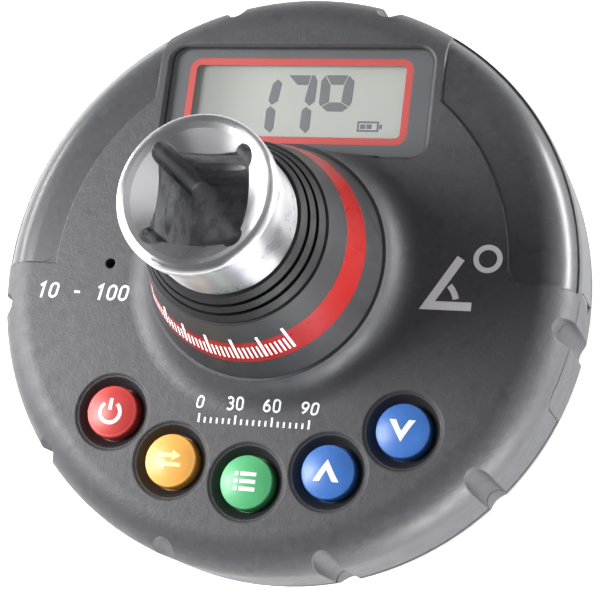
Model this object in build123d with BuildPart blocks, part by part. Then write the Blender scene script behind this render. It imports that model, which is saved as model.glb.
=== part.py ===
from build123d import *
from math import asin, atan2, cos, degrees, radians, sin, sqrt, tan
import os

# Digital torque and angle adapter for a half-inch square drive.
# A round instrument housing sits on a steel torque shaft. The upper end of the shaft takes the
# wrench's square in a chromed socket, and the lower end is a male square for the socket in use.
# Millimetres. The drive axis is Z, the tip of the male square is at Z = 0, the display is at +Y.

os.makedirs("parts", exist_ok=True)

# Square drive
drive_size = 12.7
male_slack = 0.10
female_slack = 0.15
male_length = 15.0
male_corner_chamfer = 0.8
male_tip_chamfer = 0.7
socket_depth = 17.0
corner_relief_radius = 1.5
corner_relief_inset = 0.8
ball_groove_drop = 8.3
ball_groove_section = 1.8
ball_groove_reach = 0.95
ball_dimple_radius = 0.8
ball_dimple_reach = 1.9
drill_recess_radius = 5.4
drill_recess_depth = 1.5
drill_point_depth = 1.1

# Torque shaft
shoulder_length = 2.0
journal_radius = 9.6
journal_length = 8.0
gauge_flats = 13.8
gauge_corner_radius = 4.0
flange_radius = 16.5
flange_thickness = 3.0
flange_drop = 1.0
neck_radius = 10.6
lip_radius = 11.2
lip_height = 2.6
lip_step = 0.5
lip_rounding = 0.8
lip_land = 0.4
lip_bevel_width = 0.8
lip_bevel_depth = 0.5
countersink_floor_radius = 5.6

# Heights above the housing's rear face and above its face
housing_depth = 23.0
boss_height = 18.6
lip_reach = 36.0

# Housing shells
housing_radius = 45.4
front_rounding = 6.0
rear_rounding = 7.5
face_wall = 2.4
side_wall = 2.1
rear_wall = 2.2
front_cover_depth = 15.0
gasket_thickness = 0.5
gasket_inset = 0.35
locating_lip_width = 1.7
locating_lip_height = 1.5
lip_clearance = 0.2
upper_cavity_drop = 4.8
upper_cavity_inset = 4.6
neck_clearance = 0.25
flange_clearance = 0.1
hub_wall = 2.6

# Flare, conical sleeve, coloured band and dust seal
boss_top_radius = 13.7
boss_slope = 0.302
sleeve_wall = 2.2
sleeve_clearance = 0.05
sleeve_collar_height = 2.4
spigot_height = 3.0
flare_height = 4.6
flare_ledge = 0.5
seal_seat_depth = 1.2
band_top_drop = 4.6
band_bottom_drop = 9.5
band_thickness = 0.3
seal_seat_wall = 1.1
seal_edge_inset = 0.4
seal_foot_height = 0.3
seal_rise = 5.0
seal_tip_width = 0.5
seal_groove_shares = (0.33, 0.68)
seal_groove_depth = 0.4
seal_groove_width = 0.6

# Display
window_boss_gap = 0.22
window_rim_inset = 9.65
window_corner_inset = 3.89
window_corner = 2.4
window_bevel = 0.5
lens_depth = 0.7
lens_thickness = 0.8
lens_clearance = 0.2
lens_tape = 0.1
window_pad_margin = 1.8
lcd_side_margin = 3.1
lcd_end_margin = 1.9
lcd_thickness = 2.4
lcd_clearance = 0.3
lcd_under_lens = 1.0
holder_side_margin = 1.5
holder_end_margin = 1.4
holder_side_wall = 2.2
holder_end_wall = 1.76
strip_width = 1.8
strip_end_margin = 3.0
strip_inset = 3.0

# Buttons
button_names = ("clear", "unit", "memory", "up", "down")
button_inset = 13.05
button_spacing = 12.345
well_radius = 5.7
well_depth = 1.8
well_floor_width = 0.1
well_rim = 0.3
cap_radius = 4.0
cap_clearance = 0.2
cap_flange_radius = 4.9
cap_flange_thickness = 1.0
cap_flange_gap = 0.1
cap_proud = 0.9
cap_dome_rise = 0.75
cap_edge_rounding = 0.35
dome_base_radius = 4.6
dome_top_radius = 3.3
dome_wall = 0.6
mat_thickness = 1.0
mat_width = 11.6
mat_end_margin = 8.0

# Smooth crescent panels and grip notches
crescent_depth = 0.3
crescent_drop = 4.3
crescent_width = 10.0
crescent_mid_angle = 28.0
crescent_gap = 1.2
crescent_upper_corner = 1.0
crescent_end_corner = 3.0
crescent_left_end = -0.4
crescent_right_end = -0.8
notch_pitch = 32.5
notch_radius = 1.8
notch_inset = 2.6
notch_tilt = 4.0
notch_back_wall = 1.8
notch_back_inset = 0.5

# Electronics
board_thickness = 1.6
board_drop = 8.0
board_edge_inset = 7.6
board_inner_radius = 17.5
board_post_clearance = 0.4
standoff_gap = 0.55
standoff_radius = 2.5
standoff_angles = (25.0, 155.0, 270.0)
board_screw_radius = 0.9
board_screw_head_radius = 1.9
board_screw_head_height = 1.5
board_screw_bite = 4.0
buzzer_x = -26.3
buzzer_y = -0.2
buzzer_radius = 4.8
buzzer_height = 2.3
buzzer_rib = 0.9
buzzer_clearance = 0.2
buzzer_edge_width = 1.0
buzzer_face_recess = 0.8
sound_hole_radius = 0.8
chip_offset = 5.0
gyro_size = 6.0
gyro_height = 1.5
gyro_corner = 0.4
gyro_offset = 4.0
gyro_angle = 300.0

# Housing screws
screw_inset = 6.7
upper_screw_angles = (30.0, 90.0, 150.0)
screw_button_angle = 16.0
post_bay_gap = 0.85
screw_radius = 1.25
screw_head_radius = 2.3
screw_head_height = 1.6
screw_head_sink = 1.5
screw_clearance = 0.1
screw_bite = 8.0
screw_slot_length = 3.0
screw_slot_width = 0.7
screw_slot_depth = 0.7
post_radius = 3.1

# Shaft flange screws
flange_screw_circle = 13.6
flange_screw_angles = (47.5, 167.5, 287.5)
flange_screw_head_radius = 2.2
flange_screw_bite = 5.0

# Battery bay and its cover in the rim
bay_angle = -11.3
cell_radius = 7.8
cell_edge_rounding = 0.6
cell_lift = 0.1
cell_cap_radius = 2.6
cell_cap_length = 0.6
bay_clearance = 0.4
bay_mouth_inset = 4.0
bay_hub_gap = 0.1
bay_wall = 1.4
bay_wall_height = 10.8
door_width = 17.9
door_height = 16.2
door_corner = 2.4
door_gap = 0.15
door_inset = 3.9
door_hook_length = 2.3
door_hook_width = 5.0
door_hook_thickness = 0.8
pry_slot_height = 3.2
pry_slot_depth = 1.6
pry_slot_floor = 0.6
contact_size = 9.0
contact_corner = 1.0
contact_thickness = 0.4
contact_gap = 0.05
spring_strip_thickness = 0.25
spring_strip_width = 6.0
spring_strip_half_length = 6.0
spring_room = 0.92

# Rear bearing
bush_wall = 1.8
bush_running_gap = 0.03
bush_flange = 0.6
bush_flange_thickness = 0.8
bush_tube_wall = 1.6
bush_length = 4.0
ring_groove_depth = 0.6
ring_groove_width = 1.0
ring_side_gap = 0.05
ring_radial_width = 1.7
ring_opening_angle = 26.0
ring_lug_radius = 1.5
ring_lug_hole_radius = 0.6
ring_mouth_depth = 4.0

# Detent ball in the male square
ball_radius = 2.38
ball_proud = 1.0
ball_height = 7.5
ball_pocket_gap = 0.12
ball_mouth_radius = 2.2
ball_mouth_wall = 0.3
ball_pocket_floor = -1.0
ball_spring_radius = 1.6
ball_spring_wire = 0.5
ball_spring_turns = 3

# Gauges
gauge_foil_width = 5.0
gauge_foil_height = 7.0
gauge_foil_thickness = 0.12
flex_thickness = 0.2
flex_width = 5.0
flex_bend = 2.0
flex_landing = 3.0

# Slope of the small edge bevels, and how far a cut runs past the surface that it opens through
bevel_taper = 45.0
cut_margin = 1.0

# Heights and radii that follow from the values above
male_flats = drive_size - male_slack
female_flats = drive_size + female_slack
rear_z = male_length + shoulder_length
face_z = rear_z + housing_depth
split_z = face_z - front_cover_depth
rear_cover_top_z = split_z - gasket_thickness
boss_top_z = face_z + boss_height
seal_seat_z = boss_top_z - seal_seat_depth
flare_top_z = face_z + flare_height
spigot_top_z = flare_top_z + spigot_height
tip_z = face_z + lip_reach
socket_floor_z = tip_z - socket_depth
journal_top_z = male_length + journal_length
flange_top_z = face_z - flange_drop
flange_bottom_z = flange_top_z - flange_thickness
ceiling_z = face_z - face_wall
upper_cavity_z = face_z - upper_cavity_drop
cavity_radius = housing_radius - side_wall
upper_cavity_radius = housing_radius - upper_cavity_inset
shaft_bore_radius = neck_radius + neck_clearance
flange_pocket_radius = flange_radius + flange_clearance
hub_radius = flange_pocket_radius + hub_wall
board_top_z = face_z - board_drop
board_bottom_z = board_top_z - board_thickness
lens_top_z = face_z - lens_depth
lens_bottom_z = lens_top_z - lens_thickness
lens_seat_z = lens_bottom_z - lens_tape
lcd_top_z = lens_bottom_z - lcd_under_lens
lcd_bottom_z = lcd_top_z - lcd_thickness
mat_top_z = board_top_z + mat_thickness
cap_flange_top_z = ceiling_z - cap_flange_gap
cap_base_z = cap_flange_top_z - cap_flange_thickness
bush_radius = journal_radius + bush_running_gap + bush_wall
bush_tube_radius = bush_radius + bush_tube_wall
rear_floor_z = rear_z + rear_wall
post_joint_z = rear_cover_top_z + locating_lip_height
cell_centre_z = rear_floor_z + cell_lift + cell_radius
door_inner_face = housing_radius - door_inset
bay_mouth_radius = door_inner_face - bay_mouth_inset
bay_end = bush_tube_radius + bay_hub_gap
bay_half_width = cell_radius + bay_clearance
cell_start = bay_end + spring_room
cell_length = door_inner_face - contact_thickness - contact_gap - cell_start
door_centre_z = rear_floor_z + cell_radius
gauge_half = gauge_flats / 2
sleeve_foot_radius = boss_top_radius + boss_slope * (boss_top_z - flare_top_z)
flare_edge_radius = sleeve_foot_radius + flare_ledge
seal_base_radius = boss_top_radius - seal_seat_wall
seal_edge_radius = boss_top_radius - seal_edge_inset
flare_radius = flare_edge_radius + flare_height
crescent_inner_radius = housing_radius - crescent_width
notch_face_reach = housing_radius - notch_inset

# Window, display and its holder
window_low_y = sleeve_foot_radius + window_boss_gap
window_high_y = housing_radius - window_rim_inset
window_height = window_high_y - window_low_y
window_centre_y = (window_high_y + window_low_y) / 2
window_width = 2 * sqrt((housing_radius - window_corner_inset) ** 2 - window_high_y**2)
lcd_width = window_width - 2 * lcd_side_margin
lcd_height = window_height - 2 * lcd_end_margin
holder_width = lcd_width + 2 * holder_side_margin
holder_height = lcd_height + 2 * holder_end_margin
strip_length = lcd_width - 2 * strip_end_margin
strip_spread = holder_height - 2 * strip_inset

# Circles and angles
button_circle = housing_radius - button_inset
button_pitch = degrees(2 * asin(button_spacing / (2 * button_circle)))
standoff_circle = button_circle - mat_width / 2 - standoff_radius - standoff_gap
screw_circle = housing_radius - screw_inset
board_outer_radius = housing_radius - board_edge_inset
button_angles = [270 + button_pitch * (index - 2) for index in range(len(button_names))]
bay_post_angle = degrees(asin((bay_half_width + bay_wall + post_radius + post_bay_gap) / screw_circle))
screw_angles = list(upper_screw_angles)
screw_angles += [button_angles[0] - screw_button_angle, 270 - button_pitch / 2, bay_angle - bay_post_angle]
notch_angles = [270 + notch_pitch * (index - 2.5) for index in range(6)]
notch_angles += [90 - notch_pitch / 2, 90 + notch_pitch / 2]


def at_angle(radius, angle):
    """The X and Y of a point at this radius and angle about the drive axis."""
    return radius * cos(radians(angle)), radius * sin(radians(angle))


def ring_of_points(radius, angles):
    """Points at one radius, one for each angle."""
    return [at_angle(radius, angle) for angle in angles]


def sleeve_radius(height):
    """Outer radius of the conical sleeve at this height."""
    return boss_top_radius + boss_slope * (boss_top_z - height)


def sleeve_inner_radius(height):
    """Inner radius of the conical sleeve at this height."""
    return sleeve_radius(height) - sleeve_wall * sqrt(1 + boss_slope**2)


def radial_plane(height, start=0.0):
    """Plane across the battery bay's axis, its normal pointing outwards."""
    x, y = at_angle(start, bay_angle)
    outwards = (cos(radians(bay_angle)), sin(radians(bay_angle)), 0)
    sideways = (-sin(radians(bay_angle)), cos(radians(bay_angle)), 0)
    return Plane(origin=(x, y, height), x_dir=sideways, z_dir=outwards)


def bay_plan(height):
    """Horizontal plane whose X runs along the battery bay's axis."""
    along = (cos(radians(bay_angle)), sin(radians(bay_angle)), 0)
    return Plane(origin=(0, 0, height), x_dir=along, z_dir=(0, 0, 1))


def notch_planes():
    """Planes on the axes of the grip notches, which lean outwards towards the rear."""
    lean = radians(notch_tilt)
    start = notch_face_reach + notch_radius - cut_margin * tan(lean)
    planes = []
    for angle in notch_angles:
        x, y = at_angle(start, angle)
        out_x, out_y = at_angle(sin(lean), angle)
        tangent = (-sin(radians(angle)), cos(radians(angle)), 0)
        planes.append(Plane((x, y, face_z + cut_margin), tangent, (out_x, out_y, -cos(lean))))
    return planes


def upright_plane(x, y, height):
    """Plane through a point, X to the right and the drive axis upwards."""
    return Plane(origin=(x, y, height), x_dir=(1, 0, 0), z_dir=(0, -1, 0))


def housing_profile(bottom, top):
    """Solid of the closed housing's outer form between two heights, without boss or notches."""
    with BuildPart() as form:
        with BuildSketch(Plane.XZ):
            with BuildLine():
                Line((0, rear_z), (housing_radius - rear_rounding, rear_z))
                RadiusArc(
                    (housing_radius - rear_rounding, rear_z),
                    (housing_radius, rear_z + rear_rounding),
                    -rear_rounding,
                )
                Line((housing_radius, rear_z + rear_rounding), (housing_radius, face_z - front_rounding))
                RadiusArc(
                    (housing_radius, face_z - front_rounding),
                    (housing_radius - front_rounding, face_z),
                    -front_rounding,
                )
                Line((housing_radius - front_rounding, face_z), (0, face_z))
                Line((0, face_z), (0, rear_z))
            make_face()
        revolve(axis=Axis.Z)
        with BuildSketch(Plane.XY.offset(bottom)):
            Circle(housing_radius + cut_margin)
        extrude(amount=top - bottom, mode=Mode.INTERSECT)
    return form.part


# Torque shaft, one piece of steel from the chromed socket to the male square
with BuildPart() as torque_shaft:
    with BuildSketch(Plane.XY) as male_section:
        Rectangle(male_flats, male_flats)
        chamfer(male_section.vertices(), male_corner_chamfer)
    extrude(amount=male_length)
    chamfer(torque_shaft.faces().sort_by(Axis.Z)[0].edges(), male_tip_chamfer)
    groove_top = rear_z
    groove_bottom = rear_z - ring_groove_width
    with BuildSketch(Plane.XZ):
        with BuildLine():
            Polyline(
                (0, male_length),
                (journal_radius, male_length),
                (journal_radius, groove_bottom),
                (journal_radius - ring_groove_depth, groove_bottom),
                (journal_radius - ring_groove_depth, groove_top),
                (journal_radius, groove_top),
                (journal_radius, journal_top_z),
                (0, journal_top_z),
                close=True,
            )
        make_face()
    revolve(axis=Axis.Z)
    with BuildSketch(Plane.XY.offset(journal_top_z)):
        RectangleRounded(gauge_flats, gauge_flats, gauge_corner_radius)
    extrude(amount=flange_bottom_z - journal_top_z)
    lip_base_z = tip_z - lip_height
    land_outer = lip_radius - lip_rounding
    land_inner = land_outer - lip_land
    bevel_inner = land_inner - lip_bevel_width
    bevel_z = tip_z - lip_bevel_depth
    countersink_z = bevel_z - (bevel_inner - countersink_floor_radius)
    with BuildSketch(Plane.XZ):
        with BuildLine():
            Polyline(
                (0, flange_bottom_z),
                (flange_radius, flange_bottom_z),
                (flange_radius, flange_top_z),
                (neck_radius, flange_top_z),
                (neck_radius, lip_base_z),
                (lip_radius, lip_base_z + lip_step),
                (lip_radius, tip_z - lip_rounding),
            )
            RadiusArc((lip_radius, tip_z - lip_rounding), (land_outer, tip_z), -lip_rounding)
            Polyline(
                (land_outer, tip_z),
                (land_inner, tip_z),
                (bevel_inner, bevel_z),
                (countersink_floor_radius, countersink_z),
                (0, countersink_z),
                (0, flange_bottom_z),
            )
        make_face()
    revolve(axis=Axis.Z)
    relief_spread = female_flats - 2 * corner_relief_inset
    with BuildSketch(Plane.XY.offset(socket_floor_z)):
        Rectangle(female_flats, female_flats)
        with GridLocations(relief_spread, relief_spread, 2, 2):
            Circle(corner_relief_radius)
    extrude(amount=socket_depth, mode=Mode.SUBTRACT)
    groove_z = tip_z - ball_groove_drop
    with BuildSketch(Plane.XZ):
        with Locations((female_flats / 2 + ball_groove_reach - ball_groove_section, groove_z)):
            Circle(ball_groove_section)
    revolve(axis=Axis.Z, mode=Mode.SUBTRACT)
    for side in (Plane.XZ, Plane.YZ):
        with BuildSketch(side):
            with Locations((0, groove_z)):
                Circle(ball_dimple_radius)
        extrude(amount=female_flats / 2 + ball_dimple_reach, both=True, mode=Mode.SUBTRACT)
    with BuildSketch(Plane.XZ):
        with BuildLine():
            Polyline(
                (0, socket_floor_z + cut_margin),
                (drill_recess_radius, socket_floor_z + cut_margin),
                (drill_recess_radius, socket_floor_z - drill_recess_depth),
                (0, socket_floor_z - drill_recess_depth - drill_point_depth),
                close=True,
            )
        make_face()
    revolve(axis=Axis.Z, mode=Mode.SUBTRACT)
    with BuildSketch(Plane.XY.offset(flange_bottom_z)):
        with Locations(*ring_of_points(flange_screw_circle, flange_screw_angles)):
            Circle(screw_radius + screw_clearance)
    extrude(amount=flange_thickness, mode=Mode.SUBTRACT)
    with BuildSketch(Plane.YZ.offset(ball_pocket_floor)):
        with Locations((0, ball_height)):
            Circle(ball_radius + ball_pocket_gap)
    extrude(amount=male_flats / 2 - ball_mouth_wall - ball_pocket_floor, mode=Mode.SUBTRACT)
    with BuildSketch(Plane.YZ.offset(ball_pocket_floor)):
        with Locations((0, ball_height)):
            Circle(ball_mouth_radius)
    extrude(amount=male_flats, mode=Mode.SUBTRACT)
torque_shaft.part.label = "torque_shaft"


# Smooth crescents either side of the display, as the thin layer that is taken off the face and rim
with BuildPart() as crescent_layer:
    add(housing_profile(split_z, face_z))
    with BuildSketch(Plane.XZ):
        inner_radius = housing_radius - crescent_depth
        inner_face = face_z - crescent_depth
        with BuildLine():
            Line((0, split_z), (inner_radius, split_z))
            Line((inner_radius, split_z), (inner_radius, face_z - front_rounding))
            RadiusArc(
                (inner_radius, face_z - front_rounding),
                (housing_radius - front_rounding, inner_face),
                crescent_depth - front_rounding,
            )
            Line((housing_radius - front_rounding, inner_face), (0, inner_face))
            Line((0, inner_face), (0, split_z))
        make_face()
    revolve(axis=Axis.Z, mode=Mode.SUBTRACT)
    panel_edge = window_width / 2 + window_bevel + crescent_gap
    mid_x, mid_y = at_angle(crescent_inner_radius, crescent_mid_angle)
    beyond = housing_radius + cut_margin
    with BuildSketch(Plane.XY.offset(face_z - crescent_drop)) as crescent_plan:
        for side, end in ((-1, crescent_left_end), (1, crescent_right_end)):
            low = sqrt(crescent_inner_radius**2 - end**2)
            high = sqrt(crescent_inner_radius**2 - panel_edge**2)
            with BuildLine():
                ThreePointArc(
                    (side * low, end),
                    (side * mid_x, mid_y),
                    (side * panel_edge, high),
                )
                Polyline(
                    (side * panel_edge, high),
                    (side * panel_edge, beyond),
                    (side * beyond, beyond),
                    (side * beyond, end),
                    (side * low, end),
                )
            make_face()
        low_y, high_y = -housing_radius, housing_radius
        for bottom, top, rounding in (
            (window_low_y, high_y, crescent_upper_corner),
            (low_y, window_low_y, crescent_end_corner),
        ):
            corners = [v for v in crescent_plan.vertices() if bottom < v.Y < top]
            fillet([v for v in corners if Vector(v.X, v.Y).length < cavity_radius], rounding)
    extrude(amount=crescent_drop, mode=Mode.INTERSECT)


# Front cover, the moulded face shell with the flare and spigot that carry the conical sleeve
with BuildPart() as front_cover:
    with BuildSketch(Plane.XZ):
        with BuildLine():
            Polyline(
                (shaft_bore_radius, split_z),
                (shaft_bore_radius, spigot_top_z),
                (sleeve_inner_radius(spigot_top_z) - sleeve_clearance, spigot_top_z),
                (sleeve_inner_radius(flare_top_z) - sleeve_clearance, flare_top_z),
                (flare_edge_radius, flare_top_z),
            )
            RadiusArc((flare_edge_radius, flare_top_z), (flare_radius, face_z), -flare_height)
            Line((flare_radius, face_z), (housing_radius - front_rounding, face_z))
            RadiusArc(
                (housing_radius - front_rounding, face_z),
                (housing_radius, face_z - front_rounding),
                front_rounding,
            )
            Polyline(
                (housing_radius, face_z - front_rounding),
                (housing_radius, split_z),
                (shaft_bore_radius, split_z),
            )
        make_face()
    revolve(axis=Axis.Z)
    add(crescent_layer.part, mode=Mode.SUBTRACT)
    notch_back_circle = notch_face_reach + notch_radius + notch_back_inset
    with BuildSketch(Plane.XY.offset(split_z)):
        Circle(cavity_radius)
        with Locations(*ring_of_points(notch_back_circle, notch_angles)):
            Circle(notch_radius + notch_back_wall, mode=Mode.SUBTRACT)
    extrude(amount=upper_cavity_z - split_z, mode=Mode.SUBTRACT)
    with BuildSketch(Plane.XY.offset(upper_cavity_z)):
        Circle(upper_cavity_radius)
        Circle(hub_radius, mode=Mode.SUBTRACT)
        with Locations((0, window_centre_y)):
            Rectangle(
                window_width + 2 * window_pad_margin,
                window_height + 2 * window_pad_margin,
                mode=Mode.SUBTRACT,
            )
        with Locations((buzzer_x, buzzer_y)):
            Circle(buzzer_radius + buzzer_clearance + buzzer_rib, mode=Mode.SUBTRACT)
            Circle(buzzer_radius + buzzer_clearance)
    extrude(amount=ceiling_z - upper_cavity_z, mode=Mode.SUBTRACT)
    with BuildSketch(Plane.XY.offset(post_joint_z)):
        with Locations(*ring_of_points(screw_circle, screw_angles)):
            Circle(post_radius)
    extrude(amount=ceiling_z - post_joint_z)
    with BuildSketch(Plane.XY.offset(board_top_z)):
        with Locations(*ring_of_points(standoff_circle, standoff_angles)):
            Circle(standoff_radius)
    extrude(amount=ceiling_z - board_top_z)
    with BuildSketch(Plane.XY.offset(split_z)):
        Circle(flange_pocket_radius)
    extrude(amount=flange_top_z - split_z, mode=Mode.SUBTRACT)
    with BuildSketch(Plane.XY.offset(lens_seat_z)):
        with Locations((0, window_centre_y)):
            RectangleRounded(window_width, window_height, window_corner)
    extrude(amount=2 * housing_depth, mode=Mode.SUBTRACT)
    with BuildSketch(Plane.XY.offset(face_z)):
        with Locations((0, window_centre_y)):
            RectangleRounded(
                window_width + 2 * window_bevel,
                window_height + 2 * window_bevel,
                window_corner + window_bevel,
            )
    extrude(amount=-window_bevel, taper=bevel_taper, mode=Mode.SUBTRACT)
    with BuildSketch(Plane.XY.offset(upper_cavity_z)):
        with Locations((0, window_centre_y)):
            Rectangle(lcd_width + 2 * lcd_clearance, lcd_height + 2 * lcd_clearance)
    extrude(amount=housing_depth, mode=Mode.SUBTRACT)
    with BuildSketch(Plane.XY.offset(face_z)):
        with Locations(*ring_of_points(button_circle, button_angles)):
            Circle(well_radius)
    well_taper = degrees(atan2(well_radius - cap_radius - cap_clearance - well_floor_width, well_depth))
    extrude(amount=-well_depth, taper=well_taper, mode=Mode.SUBTRACT)
    with BuildSketch(Plane.XY.offset(face_z)):
        with Locations(*ring_of_points(button_circle, button_angles)):
            Circle(well_radius + well_rim)
    extrude(amount=-well_rim, taper=bevel_taper, mode=Mode.SUBTRACT)
    with BuildSketch(Plane.XY.offset(upper_cavity_z)):
        with Locations(*ring_of_points(button_circle, button_angles)):
            Circle(cap_radius + cap_clearance)
        with Locations((buzzer_x, buzzer_y)):
            Circle(sound_hole_radius)
    extrude(amount=housing_depth, mode=Mode.SUBTRACT)
    with BuildSketch(Plane.XY.offset(post_joint_z)):
        with Locations(*ring_of_points(screw_circle, screw_angles)):
            Circle(screw_radius)
    extrude(amount=screw_bite, mode=Mode.SUBTRACT)
    with BuildSketch(Plane.XY.offset(board_top_z)):
        with Locations(*ring_of_points(standoff_circle, standoff_angles)):
            Circle(board_screw_radius)
    extrude(amount=board_screw_bite, mode=Mode.SUBTRACT)
    with BuildSketch(Plane.XY.offset(flange_top_z)):
        with Locations(*ring_of_points(flange_screw_circle, flange_screw_angles)):
            Circle(screw_radius)
    extrude(amount=flange_screw_bite, mode=Mode.SUBTRACT)
    with BuildSketch(*notch_planes()):
        Circle(notch_radius)
    extrude(amount=2 * housing_depth, mode=Mode.SUBTRACT)
    with BuildSketch(radial_plane(door_centre_z, upper_cavity_radius - cut_margin)):
        RectangleRounded(door_width, door_height, door_corner)
    extrude(amount=housing_radius, mode=Mode.SUBTRACT)
front_cover.part.label = "front_cover"


# Rear cover, with the battery bay, the bearing tube and the screw columns
with BuildPart() as rear_cover:
    add(housing_profile(rear_z, rear_cover_top_z))
    lip_outer_radius = cavity_radius - lip_clearance
    with BuildSketch(Plane.XY.offset(rear_cover_top_z)):
        Circle(lip_outer_radius)
        with Locations(*ring_of_points(notch_back_circle, notch_angles)):
            Circle(notch_radius + notch_back_wall + lip_clearance, mode=Mode.SUBTRACT)
    extrude(amount=locating_lip_height)
    with BuildSketch(Plane.XY.offset(rear_floor_z)):
        Circle(lip_outer_radius - locating_lip_width)
        Circle(bush_tube_radius, mode=Mode.SUBTRACT)
        with Locations(*ring_of_points(screw_circle, screw_angles)):
            Circle(post_radius, mode=Mode.SUBTRACT)
    extrude(amount=housing_depth, mode=Mode.SUBTRACT)
    tube_top_z = rear_z + bush_length
    with BuildSketch(Plane.XY.offset(tube_top_z)):
        Circle(bush_tube_radius)
    extrude(amount=housing_depth, mode=Mode.SUBTRACT)
    bay_inside = 2 * bay_half_width
    bay_length = bay_mouth_radius - bay_end
    with BuildSketch(bay_plan(rear_floor_z)):
        with Locations((bay_end + bay_length / 2, 0)):
            Rectangle(bay_length + 2 * bay_wall, bay_inside + 2 * bay_wall)
        with Locations((bay_end + bay_length / 2 + bay_wall, 0)):
            Rectangle(bay_length + 2 * bay_wall, bay_inside, mode=Mode.SUBTRACT)
        with Locations((0, 0)):
            Circle(bush_radius, mode=Mode.SUBTRACT)
    extrude(amount=bay_wall_height)
    with BuildSketch(Plane.XY.offset(tube_top_z)):
        Circle(bush_radius + bush_flange + flange_clearance)
    extrude(amount=housing_depth, mode=Mode.SUBTRACT)
    with BuildSketch(Plane.XY.offset(rear_z)):
        Circle(bush_radius)
    extrude(amount=housing_depth, mode=Mode.SUBTRACT)
    with BuildSketch(Plane.XY.offset(rear_z)):
        with Locations(*ring_of_points(screw_circle, screw_angles)):
            Circle(screw_radius + screw_clearance)
    extrude(amount=housing_depth, mode=Mode.SUBTRACT)
    with BuildSketch(Plane.XY.offset(rear_z)):
        with Locations(*ring_of_points(screw_circle, screw_angles)):
            Circle(screw_head_radius + screw_clearance)
    extrude(amount=screw_head_height + screw_head_sink, mode=Mode.SUBTRACT)
    with BuildSketch(*notch_planes()):
        Circle(notch_radius)
    extrude(amount=2 * housing_depth, mode=Mode.SUBTRACT)
    with BuildSketch(radial_plane(door_centre_z, bay_mouth_radius)):
        RectangleRounded(door_width, door_height, door_corner)
    extrude(amount=housing_radius, mode=Mode.SUBTRACT)
rear_cover.part.label = "rear_cover"


# Flat gasket between the two covers
with BuildPart() as housing_gasket:
    with BuildSketch(Plane.XY.offset(rear_cover_top_z)):
        Circle(housing_radius - gasket_inset)
        Circle(cavity_radius, mode=Mode.SUBTRACT)
    extrude(amount=gasket_thickness)
    with BuildSketch(*notch_planes()):
        Circle(notch_radius)
    extrude(amount=2 * housing_depth, mode=Mode.SUBTRACT)
    with BuildSketch(radial_plane(door_centre_z, bay_mouth_radius)):
        RectangleRounded(door_width, door_height, door_corner)
    extrude(amount=housing_radius, mode=Mode.SUBTRACT)
housing_gasket.part.label = "housing_gasket"


# Battery cover, a snap-in door cut from the same outer form, with a pry slot at its upper end
with BuildPart() as battery_cover:
    add(housing_profile(rear_z, face_z))
    with BuildSketch(radial_plane(door_centre_z, door_inner_face)):
        RectangleRounded(door_width - 2 * door_gap, door_height - 2 * door_gap, door_corner - door_gap)
    extrude(amount=housing_radius, mode=Mode.INTERSECT)
    hook_side = door_width / 2 - door_gap - door_hook_thickness / 2
    with BuildSketch(radial_plane(door_centre_z, door_inner_face - door_hook_length)):
        with Locations((-hook_side, 0), (hook_side, 0)):
            Rectangle(door_hook_thickness, door_hook_width)
    extrude(amount=door_hook_length)
    with BuildSketch(*notch_planes()):
        Circle(notch_radius)
    extrude(amount=2 * housing_depth, mode=Mode.SUBTRACT)
    with BuildSketch(radial_plane(door_centre_z, door_inner_face + pry_slot_floor)):
        with BuildLine():
            door_side = door_width / 2
            Polyline(
                (door_side, -pry_slot_height / 2),
                (door_side, pry_slot_height / 2),
                (door_side - pry_slot_depth, 0),
                close=True,
            )
        make_face()
    extrude(amount=housing_radius, mode=Mode.SUBTRACT)
battery_cover.part.label = "battery_cover"


# Outer contact plate on the inside of the battery cover
with BuildPart() as battery_contact:
    with BuildSketch(radial_plane(cell_centre_z, door_inner_face - contact_thickness)):
        RectangleRounded(contact_size, contact_size, contact_corner)
    extrude(amount=contact_thickness)
battery_contact.part.label = "battery_contact"


# Lithium cell lying along the bay
with BuildPart() as battery_cell:
    with BuildSketch(radial_plane(cell_centre_z, cell_start)):
        Circle(cell_radius)
    extrude(amount=cell_length - cell_cap_length)
    fillet(battery_cell.edges().filter_by(GeomType.CIRCLE), cell_edge_rounding)
    with BuildSketch(radial_plane(cell_centre_z, cell_start)):
        Circle(cell_cap_radius)
    extrude(amount=cell_length)
battery_cell.part.label = "battery_cell"


# Sprung inner contact, a bowed strip between the bay's end wall and the cell
with BuildPart() as battery_spring:
    with BuildSketch(bay_plan(cell_centre_z - spring_strip_width / 2)):
        crown = cell_start - spring_strip_thickness
        half = spring_strip_half_length
        outer_end = bay_end + spring_strip_thickness
        with BuildLine():
            ThreePointArc((bay_end, -half), (crown, 0), (bay_end, half))
            Line((bay_end, half), (outer_end, half))
            ThreePointArc((outer_end, half), (cell_start, 0), (outer_end, -half))
            Line((outer_end, -half), (bay_end, -half))
        make_face()
    extrude(amount=spring_strip_width)
battery_spring.part.label = "battery_spring"


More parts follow.
